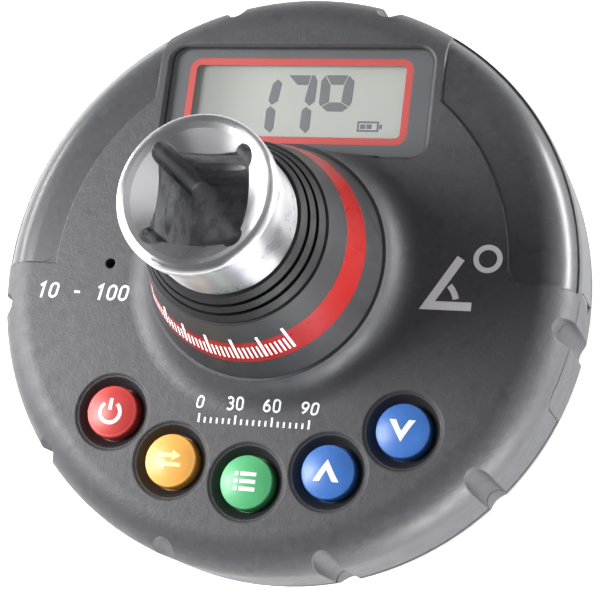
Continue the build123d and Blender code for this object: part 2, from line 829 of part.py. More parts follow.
# Conical sleeve on the front cover's spigot, with a collar under the dust seal
with BuildPart() as boss_sleeve:
    band_top_z = boss_top_z - band_top_drop
    band_bottom_z = boss_top_z - band_bottom_drop
    collar_z = seal_seat_z - sleeve_collar_height
    seat_radius = seal_base_radius + sleeve_clearance
    with BuildSketch(Plane.XZ):
        with BuildLine():
            Polyline(
                (sleeve_inner_radius(flare_top_z), flare_top_z),
                (sleeve_radius(flare_top_z), flare_top_z),
                (sleeve_radius(band_bottom_z), band_bottom_z),
                (sleeve_radius(band_bottom_z) - band_thickness, band_bottom_z),
                (sleeve_radius(band_top_z) - band_thickness, band_top_z),
                (sleeve_radius(band_top_z), band_top_z),
                (sleeve_radius(boss_top_z), boss_top_z),
                (seat_radius, boss_top_z),
                (seat_radius, seal_seat_z),
                (shaft_bore_radius, seal_seat_z),
                (shaft_bore_radius, collar_z),
                (sleeve_inner_radius(collar_z), collar_z),
                close=True,
            )
        make_face()
    revolve(axis=Axis.Z)
boss_sleeve.part.label = "boss_sleeve"


# Coloured band set into the sleeve
with BuildPart() as red_band:
    with BuildSketch(Plane.XZ):
        with BuildLine():
            Polyline(
                (sleeve_radius(band_bottom_z) - band_thickness, band_bottom_z),
                (sleeve_radius(band_bottom_z), band_bottom_z),
                (sleeve_radius(band_top_z), band_top_z),
                (sleeve_radius(band_top_z) - band_thickness, band_top_z),
                close=True,
            )
        make_face()
    revolve(axis=Axis.Z)
red_band.part.label = "red_band"


# Rubber dust seal round the neck, with two grooves in its conical side
with BuildPart() as front_seal:
    seal_tip_radius = neck_radius + seal_tip_width
    seal_foot_z = boss_top_z + seal_foot_height
    seal_top_z = boss_top_z + seal_rise
    seal_run = seal_edge_radius - seal_tip_radius
    seal_lean = degrees(atan2(seal_run, seal_top_z - seal_foot_z))
    with BuildSketch(Plane.XZ):
        with BuildLine():
            Polyline(
                (neck_radius, seal_seat_z),
                (seal_base_radius, seal_seat_z),
                (seal_base_radius, boss_top_z + sleeve_clearance),
                (seal_edge_radius, boss_top_z + sleeve_clearance),
                (seal_edge_radius, seal_foot_z),
                (seal_tip_radius, seal_top_z),
                (neck_radius, seal_top_z),
                close=True,
            )
        make_face()
        for share in seal_groove_shares:
            groove_radius = seal_edge_radius - share * seal_run
            groove_z = seal_foot_z + share * (seal_top_z - seal_foot_z)
            with Locations((groove_radius, groove_z)):
                Rectangle(2 * seal_groove_depth, seal_groove_width, rotation=seal_lean, mode=Mode.SUBTRACT)
    revolve(axis=Axis.Z)
front_seal.part.label = "front_seal"


# Display window lens
with BuildPart() as display_lens:
    with BuildSketch(Plane.XY.offset(lens_bottom_z)):
        with Locations((0, window_centre_y)):
            RectangleRounded(
                window_width - 2 * lens_clearance,
                window_height - 2 * lens_clearance,
                window_corner - lens_clearance,
            )
    extrude(amount=lens_thickness)
display_lens.part.label = "display_lens"


# Liquid crystal cell
with BuildPart() as lcd_glass:
    with BuildSketch(Plane.XY.offset(lcd_bottom_z)):
        with Locations((0, window_centre_y)):
            Rectangle(lcd_width, lcd_height)
    extrude(amount=lcd_thickness)
lcd_glass.part.label = "lcd_glass"


# Frame that carries the display over the board
with BuildPart() as lcd_holder:
    with BuildSketch(Plane.XY.offset(board_top_z)):
        with Locations((0, window_centre_y)):
            Rectangle(holder_width, holder_height)
            Rectangle(
                holder_width - 2 * holder_side_wall,
                holder_height - 2 * holder_end_wall,
                mode=Mode.SUBTRACT,
            )
    extrude(amount=lcd_bottom_z - board_top_z)
lcd_holder.part.label = "lcd_holder"


# Elastomer strips that join the display to the board
with BuildPart() as contact_strips:
    with BuildSketch(Plane.XY.offset(board_top_z)):
        with Locations((0, window_centre_y)):
            with GridLocations(1, strip_spread, 1, 2):
                Rectangle(strip_length, strip_width)
    extrude(amount=lcd_bottom_z - board_top_z)
contact_strips.part.label = "contact_strips"


# Circuit board round the shaft, cut away for the battery bay and the posts
with BuildPart() as circuit_board:
    with BuildSketch(Plane.XY.offset(board_bottom_z)):
        Circle(board_outer_radius)
        Circle(board_inner_radius, mode=Mode.SUBTRACT)
        with Locations(*ring_of_points(screw_circle, screw_angles)):
            Circle(post_radius + board_post_clearance, mode=Mode.SUBTRACT)
        with Locations(*ring_of_points(standoff_circle, standoff_angles)):
            Circle(board_screw_radius + screw_clearance, mode=Mode.SUBTRACT)
    extrude(amount=board_thickness)
    with BuildSketch(bay_plan(board_bottom_z)):
        with Locations((housing_radius / 2, 0)):
            Rectangle(housing_radius, 2 * bay_half_width)
    extrude(amount=board_thickness, mode=Mode.SUBTRACT)
circuit_board.part.label = "circuit_board"


# Chips, crystal and connector on the underside of the board
chip_sizes = ((10.0, 10.0, 1.4), (6.0, 5.0, 1.5), (8.0, 3.2, 2.5), (10.0, 4.5, 4.0), (4.0, 4.0, 1.2))
chip_angles = (214.0, 182.0, 243.0, 75.0, 120.0)
with BuildPart() as board_components:
    for (length, width, height), angle in zip(chip_sizes, chip_angles):
        with BuildSketch(Plane.XY.offset(board_bottom_z - height)):
            with Locations(at_angle(standoff_circle + chip_offset, angle)):
                Rectangle(length, width)
        extrude(amount=height)
board_components.part.label = "board_components"


# Rate sensor that measures the angle turned
with BuildPart() as gyro_sensor:
    with BuildSketch(Plane.XY.offset(board_bottom_z - gyro_height)):
        with Locations(at_angle(standoff_circle + gyro_offset, gyro_angle)):
            RectangleRounded(gyro_size, gyro_size, gyro_corner)
    extrude(amount=gyro_height)
gyro_sensor.part.label = "gyro_sensor"


# Screws that hold the board to the front cover
with BuildPart() as board_screws:
    with BuildSketch(Plane.XY.offset(board_bottom_z - board_screw_head_height)):
        with Locations(*ring_of_points(standoff_circle, standoff_angles)):
            Circle(board_screw_head_radius)
    extrude(amount=board_screw_head_height)
    with BuildSketch(Plane.XY.offset(board_bottom_z)):
        with Locations(*ring_of_points(standoff_circle, standoff_angles)):
            Circle(board_screw_radius)
    extrude(amount=board_thickness + board_screw_bite)
board_screws.part.label = "board_screws"


# Piezo buzzer behind the sound hole
with BuildPart() as buzzer:
    with BuildSketch(Plane.XY.offset(ceiling_z - buzzer_height)):
        with Locations((buzzer_x, buzzer_y)):
            Circle(buzzer_radius)
    extrude(amount=buzzer_height)
    with BuildSketch(Plane.XY.offset(ceiling_z - buzzer_face_recess)):
        with Locations((buzzer_x, buzzer_y)):
            Circle(buzzer_radius - buzzer_edge_width)
    extrude(amount=buzzer_face_recess, mode=Mode.SUBTRACT)
buzzer.part.label = "buzzer"


# Silicone mat on the board under the buttons
with BuildPart() as keypad_mat:
    mat_start = button_angles[0] - mat_end_margin
    mat_sweep = button_angles[-1] - button_angles[0] + 2 * mat_end_margin
    with BuildSketch(Plane.XY.offset(board_top_z)):
        SlotArc(CenterArc((0, 0), button_circle, mat_start, mat_sweep), mat_width)
        with Locations(*ring_of_points(screw_circle, screw_angles)):
            Circle(post_radius + board_post_clearance, mode=Mode.SUBTRACT)
    extrude(amount=mat_thickness)
keypad_mat.part.label = "keypad_mat"


def make_button(name, angle):
    """One captive domed cap and the silicone dome under it."""
    x, y = at_angle(button_circle, angle)
    axis = Axis((x, y, 0), (0, 0, 1))
    cap_edge_z = face_z + cap_proud - cap_dome_rise
    with BuildPart() as cap:
        with BuildSketch(upright_plane(x, y, 0)):
            with BuildLine():
                Polyline(
                    (0, cap_base_z),
                    (cap_flange_radius, cap_base_z),
                    (cap_flange_radius, cap_flange_top_z),
                    (cap_radius, cap_flange_top_z),
                    (cap_radius, cap_edge_z - cap_edge_rounding),
                )
                RadiusArc(
                    (cap_radius, cap_edge_z - cap_edge_rounding),
                    (cap_radius - cap_edge_rounding, cap_edge_z),
                    -cap_edge_rounding,
                )
                crown_half_width = cap_radius - cap_edge_rounding
                crown_radius = (crown_half_width**2 + cap_dome_rise**2) / (2 * cap_dome_rise)
                RadiusArc(
                    (cap_radius - cap_edge_rounding, cap_edge_z),
                    (0, face_z + cap_proud),
                    -crown_radius,
                )
                Line((0, face_z + cap_proud), (0, cap_base_z))
            make_face()
        revolve(axis=axis)
    cap.part.label = name + "_button"
    with BuildPart() as dome:
        with BuildSketch(upright_plane(x, y, 0)):
            with BuildLine():
                Polyline(
                    (dome_base_radius - dome_wall, mat_top_z),
                    (dome_base_radius, mat_top_z),
                    (dome_top_radius, cap_base_z),
                    (0, cap_base_z),
                    (0, cap_base_z - dome_wall),
                    (dome_top_radius - dome_wall, cap_base_z - dome_wall),
                    close=True,
                )
            make_face()
        revolve(axis=axis)
    dome.part.label = name + "_dome"
    return cap.part, dome.part


button_parts = []
for button_name, button_angle in zip(button_names, button_angles):
    button_parts += make_button(button_name, button_angle)


# Screws from the rear face into the front cover's posts
with BuildPart() as housing_screws:
    head_bottom_z = rear_z + screw_head_sink
    with BuildSketch(Plane.XY.offset(head_bottom_z)):
        with Locations(*ring_of_points(screw_circle, screw_angles)):
            Circle(screw_head_radius)
    extrude(amount=screw_head_height)
    with BuildSketch(Plane.XY.offset(head_bottom_z + screw_head_height)):
        with Locations(*ring_of_points(screw_circle, screw_angles)):
            Circle(screw_radius)
    extrude(amount=post_joint_z + screw_bite - head_bottom_z - screw_head_height)
    with BuildSketch(Plane.XY.offset(head_bottom_z)):
        with Locations(*ring_of_points(screw_circle, screw_angles)):
            Rectangle(screw_slot_length, screw_slot_width)
            Rectangle(screw_slot_width, screw_slot_length)
    extrude(amount=screw_slot_depth, mode=Mode.SUBTRACT)
housing_screws.part.label = "housing_screws"


# Screws that fasten the front cover to the shaft's flange
with BuildPart() as flange_screws:
    with BuildSketch(Plane.XY.offset(flange_bottom_z - screw_head_height)):
        with Locations(*ring_of_points(flange_screw_circle, flange_screw_angles)):
            Circle(flange_screw_head_radius)
    extrude(amount=screw_head_height)
    with BuildSketch(Plane.XY.offset(flange_bottom_z)):
        with Locations(*ring_of_points(flange_screw_circle, flange_screw_angles)):
            Circle(screw_radius)
    extrude(amount=flange_thickness + flange_screw_bite)
flange_screws.part.label = "flange_screws"


# Flanged bush between the rear cover and the shaft's journal
with BuildPart() as rear_bush:
    with BuildSketch(Plane.XY.offset(rear_z)):
        Circle(bush_radius)
    extrude(amount=bush_length)
    with BuildSketch(Plane.XY.offset(rear_z + bush_length)):
        Circle(bush_radius + bush_flange)
    extrude(amount=bush_flange_thickness)
    with BuildSketch(Plane.XY.offset(rear_z)):
        Circle(journal_radius + bush_running_gap)
    extrude(amount=housing_depth, mode=Mode.SUBTRACT)
rear_bush.part.label = "rear_bush"


# Retaining ring in the shaft's groove behind the housing
with BuildPart() as retaining_ring:
    ring_inner_radius = journal_radius - ring_groove_depth
    ring_outer_radius = ring_inner_radius + ring_radial_width
    ring_mid_radius = ring_inner_radius + ring_lug_radius
    ring_thickness = ring_groove_width - 2 * ring_side_gap
    lug_angles = (270 - ring_opening_angle / 2, 270 + ring_opening_angle / 2)
    with BuildSketch(Plane.XY.offset(rear_z - ring_groove_width + ring_side_gap)):
        Circle(ring_outer_radius)
        Circle(ring_inner_radius, mode=Mode.SUBTRACT)
        with Locations((0, -ring_mid_radius)):
            Rectangle(
                2 * ring_mid_radius * sin(radians(ring_opening_angle / 2)),
                ring_mouth_depth,
                mode=Mode.SUBTRACT,
            )
        with Locations(*ring_of_points(ring_mid_radius, lug_angles)):
            Circle(ring_lug_radius)
            Circle(ring_lug_hole_radius, mode=Mode.SUBTRACT)
        Circle(ring_inner_radius, mode=Mode.SUBTRACT)
    extrude(amount=ring_thickness)
retaining_ring.part.label = "retaining_ring"


# Detent ball and its coil spring in the male square
ball_rest_x = male_flats / 2 + ball_proud - ball_radius
with BuildPart() as detent_ball:
    with Locations((ball_rest_x, 0, ball_height)):
        Sphere(ball_radius)
detent_ball.part.label = "detent_ball"

with BuildPart() as detent_spring:
    wire = ball_spring_wire
    seat_x = ball_rest_x - sqrt(ball_radius**2 - ball_spring_radius**2) - wire / 2
    spring_length = seat_x - ball_pocket_floor - wire
    coil_start = (ball_pocket_floor + wire / 2, 0, ball_height)
    with BuildLine():
        coil = Helix(
            pitch=spring_length / ball_spring_turns,
            height=spring_length,
            radius=ball_spring_radius,
            center=coil_start,
            direction=(1, 0, 0),
        )
    with BuildSketch(Plane(origin=coil @ 0, z_dir=coil % 0)):
        Circle(wire / 2)
    sweep(is_frenet=True)
detent_spring.part.label = "detent_spring"


# Strain gauges on the four flats of the gauge section
with BuildPart() as strain_gauges:
    gauge_centre_z = (journal_top_z + flange_bottom_z) / 2
    for quarter in range(4):
        outwards = at_angle(1, 90 * quarter)
        face = Plane(
            origin=(gauge_half * outwards[0], gauge_half * outwards[1], gauge_centre_z),
            x_dir=(-outwards[1], outwards[0], 0),
            z_dir=(outwards[0], outwards[1], 0),
        )
        with BuildSketch(face):
            Rectangle(gauge_foil_width, gauge_foil_height)
        extrude(amount=gauge_foil_thickness)
strain_gauges.part.label = "strain_gauges"


# Flexible strip from the gauges to the underside of the board
with BuildPart() as gauge_flex:
    inner_x = gauge_half + gauge_foil_thickness
    outer_x = board_inner_radius + flex_landing
    low_z = gauge_centre_z - gauge_foil_height / 2
    with BuildSketch(upright_plane(0, flex_width / 2, 0)):
        with BuildLine():
            Polyline((-inner_x - flex_thickness, low_z), (-inner_x, low_z))
            Line((-inner_x, low_z), (-inner_x, board_bottom_z - flex_bend))
            Line((-inner_x - flex_thickness, low_z), (-inner_x - flex_thickness, board_bottom_z - flex_bend))
            RadiusArc(
                (-inner_x, board_bottom_z - flex_bend),
                (-inner_x - flex_bend, board_bottom_z),
                -flex_bend,
            )
            RadiusArc(
                (-inner_x - flex_thickness, board_bottom_z - flex_bend),
                (-inner_x - flex_bend, board_bottom_z - flex_thickness),
                flex_thickness - flex_bend,
            )
            Polyline(
                (-inner_x - flex_bend, board_bottom_z),
                (-outer_x, board_bottom_z),
                (-outer_x, board_bottom_z - flex_thickness),
                (-inner_x - flex_bend, board_bottom_z - flex_thickness),
            )
        make_face()
    extrude(amount=flex_width)
gauge_flex.part.label = "gauge_flex"


finished = [
    torque_shaft.part,
    front_cover.part,
    rear_cover.part,
    housing_gasket.part,
    battery_cover.part,
    battery_contact.part,
    battery_cell.part,
    battery_spring.part,
    boss_sleeve.part,
    red_band.part,
    front_seal.part,
    display_lens.part,
    lcd_glass.part,
    lcd_holder.part,
    contact_strips.part,
    circuit_board.part,
    board_components.part,
    gyro_sensor.part,
    board_screws.part,
    buzzer.part,
    keypad_mat.part,
    housing_screws.part,
    flange_screws.part,
    rear_bush.part,
    retaining_ring.part,
    detent_ball.part,
    detent_spring.part,
    strain_gauges.part,
    gauge_flex.part,
]
for piece in finished + button_parts:
    export_step(piece, "parts/" + piece.label + ".step")
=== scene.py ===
"""Looks for the digital torque adapter: materials, printed marks, display, light and camera.

Everything is in metres in the CAD model's own frame: the drive axis is Z and the display is at +Y.
"""

import math

import bmesh
import bpy
from mathutils import Matrix, Vector
from mathutils.bvhtree import BVHTree


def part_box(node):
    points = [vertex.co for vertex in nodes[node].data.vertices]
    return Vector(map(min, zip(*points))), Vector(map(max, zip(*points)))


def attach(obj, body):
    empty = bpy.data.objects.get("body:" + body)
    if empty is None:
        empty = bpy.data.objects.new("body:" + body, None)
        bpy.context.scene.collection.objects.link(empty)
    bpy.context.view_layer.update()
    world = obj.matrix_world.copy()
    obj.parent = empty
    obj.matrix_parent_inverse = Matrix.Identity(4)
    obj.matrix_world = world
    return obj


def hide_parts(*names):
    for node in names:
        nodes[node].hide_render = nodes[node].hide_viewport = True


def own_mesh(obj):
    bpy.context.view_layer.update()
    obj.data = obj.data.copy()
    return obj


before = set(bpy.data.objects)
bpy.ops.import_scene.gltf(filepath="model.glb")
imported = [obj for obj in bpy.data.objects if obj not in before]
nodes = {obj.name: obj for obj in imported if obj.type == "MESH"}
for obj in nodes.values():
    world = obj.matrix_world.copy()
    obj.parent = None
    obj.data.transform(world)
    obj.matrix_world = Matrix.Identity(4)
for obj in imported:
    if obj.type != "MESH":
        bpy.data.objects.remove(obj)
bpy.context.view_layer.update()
MM = 0.001

# Heights and places read from the frame
lens_low, lens_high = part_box("display_lens")
_, glass_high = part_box("lcd_glass")
_, shaft_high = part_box("torque_shaft")
window_centre = (lens_low + lens_high) / 2

# Where the finish changes on one piece, and where shade is painted on it round the buttons and on the display
# cell: the start and the end of each blend
CRESCENT_RADIUS = (35.3 * MM, 35.45 * MM)
CRESCENT_SIDE = (22.7 * MM, 22.85 * MM)
CRESCENT_FOOT = (-0.6 * MM, -0.4 * MM)
WELL_SHADE_TOP = (39.9 * MM, 39.6 * MM)
WELL_SHADE_BACK = (-14.7 * MM, -15 * MM)
WELL_SHADE_REACH = (38.2 * MM, 38 * MM)
SOCKET_REACH = (9.1 * MM, 8.9 * MM)
SOCKET_MOUTH = (shaft_high.z - 3.3 * MM, shaft_high.z - 4.2 * MM)
SOCKET_DEEP = (20 * MM, 30 * MM)
CELL_SHADE = (-5 * MM, -19 * MM)

# Sockets of the mix nodes, for colours and for numbers
COLOUR_A, COLOUR_B, COLOUR_RESULT = 6, 7, 2
NUMBER_A, NUMBER_B, NUMBER_RESULT = 2, 3, 0

# The noise's roughness and the values that it mostly keeps between
NOISE_ROUGHNESS = 0.55
NOISE_LOW, NOISE_MIDDLE, NOISE_HIGH = 0.3, 0.5, 0.7


# Materials


def linear(red, green, blue):
    """Scene-linear colour from 0 to 255 display values."""

    def channel(value):
        value /= 255
        return value / 12.92 if value <= 0.04045 else ((value + 0.055) / 1.055) ** 2.4

    return (channel(red), channel(green), channel(blue), 1.0)


class Graph:
    """Shorthand for making and joining the nodes of one shader tree."""

    def __init__(self, tree):
        self.tree = tree

    def node(self, kind, **settings):
        made = self.tree.nodes.new(kind)
        for key, value in settings.items():
            setattr(made, key, value)
        return made

    def link(self, output, target):
        self.tree.links.new(output, target)

    def math(self, operation, first, second=0.0):
        """The result of a sum whose terms are numbers or outputs of other nodes."""
        made = self.node("ShaderNodeMath", operation=operation)
        for socket, value in zip(made.inputs, (first, second)):
            if isinstance(value, (int, float)):
                socket.default_value = value
            else:
                self.link(value, socket)
        return made.outputs[0]

    def product(self, first, *others):
        """Several factors multiplied, such as masks that all have to be 1."""
        for other in others:
            first = self.math("MULTIPLY", first, other)
        return first

    def ramp(self, factor, low, high, bottom=0.0, top=1.0):
        """A smooth step: the factor's value low gives bottom, and high gives top."""
        made = self.node("ShaderNodeMapRange", interpolation_type="SMOOTHSTEP")
        self.link(factor, made.inputs["Value"])
        made.inputs["From Min"].default_value = low
        made.inputs["From Max"].default_value = high
        made.inputs["To Min"].default_value = bottom
        made.inputs["To Max"].default_value = top
        return made.outputs["Result"]

    def parted(self, vector):
        """The X, Y and Z of a vector."""
        split = self.node("ShaderNodeSeparateXYZ")
        self.link(vector, split.inputs[0])
        return split.outputs

    def mixed(self, factor, first, second):
        """One shader where the factor is 0, another where it is 1."""
        made = self.node("ShaderNodeMixShader")
        for output, socket in zip((factor, first, second), made.inputs):
            self.link(output, socket)
        return made.outputs[0]


class Surface(Graph):
    """A node material built up step by step round one Principled shader."""

    def __init__(self, name, colour, roughness, metallic=0.0, **inputs):
        self.material = bpy.data.materials.new(name)
        self.material.use_nodes = True
        super().__init__(self.material.node_tree)
        self.shader = self.tree.nodes["Principled BSDF"]
        self.colour = colour
        self.set("Base Color", colour)
        self.set("Roughness", roughness)
        self.set("Metallic", metallic)
        for key, value in inputs.items():
            self.set(key.replace("_", " "), value)
        self.place = self.node("ShaderNodeTexCoord").outputs["Object"]
        self.normal = None

    def set(self, socket, value):
        self.shader.inputs[socket].default_value = value

    def noise(self, size, detail=3.0):
        """Noise whose features are about `size` metres across."""
        noise = self.node("ShaderNodeTexNoise")
        noise.inputs["Scale"].default_value = 1 / size
        noise.inputs["Detail"].default_value = detail
        noise.inputs["Roughness"].default_value = NOISE_ROUGHNESS
        self.link(self.place, noise.inputs["Vector"])
        return noise.outputs["Fac"]

    def axes(self):
        """The X, Y and Z of the point being shaded, in metres."""
        return self.parted(self.place)

    def radius(self):
        """Distance of the point being shaded from the drive axis."""
        x, y, _ = self.axes()
        return self.math("SQRT", self.math("ADD", self.product(x, x), self.product(y, y)))

    def tint(self, factor, other):
        """Blend the base colour towards another colour by a factor."""
        mix = self.node("ShaderNodeMix", data_type="RGBA")
        self.link(factor, mix.inputs["Factor"])
        source = self.shader.inputs["Base Color"]
        if source.links:
            self.link(source.links[0].from_socket, mix.inputs[COLOUR_A])
        else:
            mix.inputs[COLOUR_A].default_value = source.default_value
        mix.inputs[COLOUR_B].default_value = other
        self.link(mix.outputs[COLOUR_RESULT], source)

    def mottle(self, size, amount):
        """Light and dark variation of the base colour."""
        lighter = tuple(min(1.0, c * (1 + amount)) for c in self.colour[:3]) + (1.0,)
        darker = tuple(c * (1 - amount) for c in self.colour[:3]) + (1.0,)
        self.tint(self.ramp(self.noise(size), NOISE_MIDDLE, 0.75), lighter)
        self.tint(self.ramp(self.noise(size * 1.7), NOISE_MIDDLE, 0.25), darker)

    def gloss(self, size, low, high, mask=None, masked=None):
        """Roughness that varies between two values, and a third value where a mask is 1."""
        made = self.node("ShaderNodeMapRange")
        self.link(self.noise(size), made.inputs["Value"])
        made.inputs["From Min"].default_value = NOISE_LOW
        made.inputs["From Max"].default_value = NOISE_HIGH
        made.inputs["To Min"].default_value = low
        made.inputs["To Max"].default_value = high
        value = made.outputs["Result"]
        if mask is not None:
            mix = self.node("ShaderNodeMix", data_type="FLOAT")
            self.link(mask, mix.inputs["Factor"])
            self.link(value, mix.inputs[NUMBER_A])
            mix.inputs[NUMBER_B].default_value = masked
            value = mix.outputs[NUMBER_RESULT]
        self.link(value, self.shader.inputs["Roughness"])

    def soft_edges(self, radius):
        """Rounds the shading of sharp edges."""
        bevel = self.node("ShaderNodeBevel", samples=4)
        bevel.inputs["Radius"].default_value = radius
        self.normal = bevel.outputs["Normal"]
        self.link(self.normal, self.shader.inputs["Normal"])

    def bump(self, height, depth, strength):
        """Relief of `depth` metres from a height between 0 and 1."""
        made = self.node("ShaderNodeBump")
        made.inputs["Strength"].default_value = strength
        made.inputs["Distance"].default_value = depth
        self.link(height, made.inputs["Height"])
        if self.normal is not None:
            self.link(self.normal, made.inputs["Normal"])
        self.normal = made.outputs["Normal"]
        self.link(self.normal, self.shader.inputs["Normal"])


def moulded_grey():
    """Spark-textured grey moulding, smooth on the crescents by the display, with shade painted in as a darker
    colour in the recesses round the buttons.
    """
    surface = Surface("moulded_grey", linear(66, 66, 70), 0.5)
    surface.soft_edges(0.35 * MM)
    surface.mottle(1.1 * MM, 0.2)
    x, y, z = surface.axes()
    radius = surface.radius()
    # Painted shade: the recesses round the buttons are coloured darker, standing for the shade cast by the
    # caps and the recess walls.
    well_shade = surface.product(
        surface.ramp(z, *WELL_SHADE_TOP),
        surface.ramp(y, *WELL_SHADE_BACK),
        surface.ramp(radius, *WELL_SHADE_REACH),
    )
    surface.tint(well_shade, linear(36, 36, 39))
    smooth = surface.product(
        surface.ramp(radius, *CRESCENT_RADIUS),
        surface.ramp(surface.math("ABSOLUTE", x), *CRESCENT_SIDE),
        surface.ramp(y, *CRESCENT_FOOT),
    )
    surface.gloss(2.5 * MM, 0.46, 0.56, smooth, 0.3)
    grain = surface.math("ADD", surface.noise(0.32 * MM, 4.0), surface.noise(0.9 * MM, 2.0))
    kept = surface.math("SUBTRACT", 1.0, surface.product(smooth, 0.7))
    surface.bump(surface.product(grain, kept), 0.06 * MM, 0.62)
    return surface.material


def plated_steel():
    """Chrome with fine turning lines outside, duller and darker in the broached square."""
    surface = Surface("plated_steel", (0.72, 0.72, 0.74, 1.0), 0.3, metallic=1.0, Anisotropic=0.9)
    surface.set("Anisotropic Rotation", 0.25)
    tangent = surface.node("ShaderNodeTangent", direction_type="RADIAL", axis="Z")
    surface.link(tangent.outputs[0], surface.shader.inputs["Tangent"])
    surface.soft_edges(0.2 * MM)
    _, _, z = surface.axes()
    deep = surface.product(
        surface.ramp(surface.radius(), *SOCKET_REACH),
        surface.ramp(z, *SOCKET_MOUTH),
        surface.ramp(z, *SOCKET_DEEP),
    )
    surface.tint(deep, (0.52, 0.52, 0.54, 1.0))
    stain = surface.product(deep, surface.ramp(surface.noise(2.2 * MM), 0.45, 0.62))
    surface.tint(stain, (0.36, 0.36, 0.38, 1.0))
    surface.gloss(4 * MM, 0.26, 0.33, deep, 0.55)
    return surface.material


def plain(name, colour, roughness, size=1.0 * MM, amount=0.1, edge=0.15 * MM, relief=0.01 * MM, **inputs):
    """Mottled material with fine relief and softened edges."""
    surface = Surface(name, colour, roughness, **inputs)
    surface.soft_edges(edge)
    surface.mottle(size, amount)
    surface.gloss(size * 2, roughness * 0.9, roughness * 1.12)
    if relief:
        surface.bump(surface.noise(size * 0.35), relief, 0.5)
    return surface.material


def button_cap(name, colour):
    """Satin translucent moulding."""
    surface = Surface(name, colour, 0.4, Subsurface_Weight=0.12, Coat_Weight=0.1, Coat_Roughness=0.35)
    surface.set("Subsurface Radius", (0.6 * MM, 0.3 * MM, 0.2 * MM))
    surface.mottle(1.6 * MM, 0.06)
    surface.gloss(1.2 * MM, 0.38, 0.46)
    surface.bump(surface.noise(0.3 * MM), 0.01 * MM, 0.35)
    return surface.material


def clear_window():
    """Clear acrylic with a low sheen."""
    surface = Surface("clear_window", (0.85, 0.88, 0.88, 1.0), 0.2, Alpha=0.03, Specular_IOR_Level=0.25)
    surface.gloss(5 * MM, 0.19, 0.22)
    return surface.material


def display_back():
    """Grey reflective layer of the liquid crystal cell, with the window frame's shadow painted on as a darker
    colour towards one end.
    """
    surface = Surface("display_back", linear(162, 165, 159), 0.55)
    surface.mottle(3 * MM, 0.025)
    x, _, _ = surface.axes()
    # Painted shadow: darker towards -X, where the printed frame above the cell would shade it.
    surface.tint(surface.ramp(x, *CELL_SHADE), linear(122, 123, 121))
    surface.gloss(1 * MM, 0.5, 0.6)
    surface.bump(surface.noise(0.12 * MM, 2.0), 0.004 * MM, 0.4)
    return surface.material


grey = moulded_grey()
chrome = plated_steel()
rubber = plain("dark_rubber", linear(20, 20, 22), 0.55, amount=0.15, Specular_IOR_Level=0.25)
satin_black = plain(
    "satin_black",
    linear(46, 46, 48),
    0.4,
    amount=0.06,
    edge=0.25 * MM,
    relief=0.005 * MM,
    Specular_IOR_Level=0.35,
)
band_red = plain("band_red", linear(138, 21, 19), 0.3, amount=0.05, relief=0)
bright_steel = plain("bright_steel", (0.55, 0.55, 0.56, 1.0), 0.28, metallic=1.0)
bronze = plain("sintered_bronze", (0.48, 0.30, 0.13, 1.0), 0.45, metallic=1.0, amount=0.25)
board_green = plain("board_green", linear(24, 92, 48), 0.35, amount=0.12)
chip_black = plain("chip_black", linear(40, 40, 42), 0.5, relief=0.02 * MM)
silicone = plain("silicone_grey", linear(158, 158, 154), 0.55, Subsurface_Weight=0.1)
cell_wrap = plain("cell_wrap", linear(70, 72, 80), 0.3)
polyimide = plain("polyimide", linear(186, 116, 36), 0.3)
window = clear_window()
back = display_back()
segment_grey = plain("segment_grey", linear(88, 92, 96), 0.6, amount=0.06)
panel_grey = plain("panel_grey", linear(68, 70, 75), 0.5, size=2.2 * MM, amount=0.05, relief=0.004 * MM)
panel_red = plain("panel_red", linear(182, 44, 38), 0.5, amount=0.04)
print_white = plain("print_white", linear(240, 241, 243), 0.5, size=0.6 * MM, amount=0.04)
print_cream = plain("print_cream", linear(252, 226, 160), 0.5, size=0.6 * MM, amount=0.05)
caps = {
    "clear": button_cap("cap_red", linear(188, 58, 54)),
    "unit": button_cap("cap_yellow", linear(230, 168, 80)),
    "memory": button_cap("cap_green", linear(80, 170, 112)),
    "up": button_cap("cap_blue", linear(56, 108, 182)),
}
caps["down"] = caps["up"]

dress = {
    "torque_shaft": chrome,
    "front_cover": grey,
    "rear_cover": grey,
    "battery_cover": grey,
    "housing_gasket": rubber,
    "boss_sleeve": satin_black,
    "red_band": band_red,
    "front_seal": rubber,
    "display_lens": window,
    "lcd_glass": back,
    "lcd_holder": chip_black,
    "contact_strips": rubber,
    "circuit_board": board_green,
    "board_components": chip_black,
    "gyro_sensor": chip_black,
    "buzzer": chip_black,
    "keypad_mat": silicone,
    "rear_bush": bronze,
    "battery_cell": cell_wrap,
    "strain_gauges": polyimide,
    "gauge_flex": polyimide,
}
for name, cap in caps.items():
    dress[name + "_button"] = cap
    dress[name + "_dome"] = silicone
for name, thing in nodes.items():
    thing.data.materials.clear()
    thing.data.materials.append(dress.get(name, bright_steel))


# Printed marks: flat shapes, laid over a surface as a thin layer
LIFT = 0.0005 * MM  # between the strokes of one print, so that none lie in one plane
ABOVE_ALL = 0.2  # where the rays that find a surface start
SHARPEST_MITRE = 0.3
CLOSED_WITHIN = 1e-7


def surface_of(*names):
    """A function that gives the height of the CAD nodes' top surface at a point."""
    vertices, faces = [], []
    for name in names:
        mesh = nodes[name].data
        start = len(vertices)
        vertices += [v.co.copy() for v in mesh.vertices]
        faces += [[start + i for i in p.vertices] for p in mesh.polygons]
    tree = BVHTree.FromPolygons(vertices, faces)

    def height(x, y):
        return tree.ray_cast(Vector((x, y, ABOVE_ALL)), Vector((0, 0, -1)))[0].z

    return height


def level(z):
    """A flat surface at one height."""
    return lambda x, y: z


def polygon(points):
    """A filled outline."""

    def build(bm):
        bm.faces.new([bm.verts.new((x, y, 0)) for x, y in points])

    return build


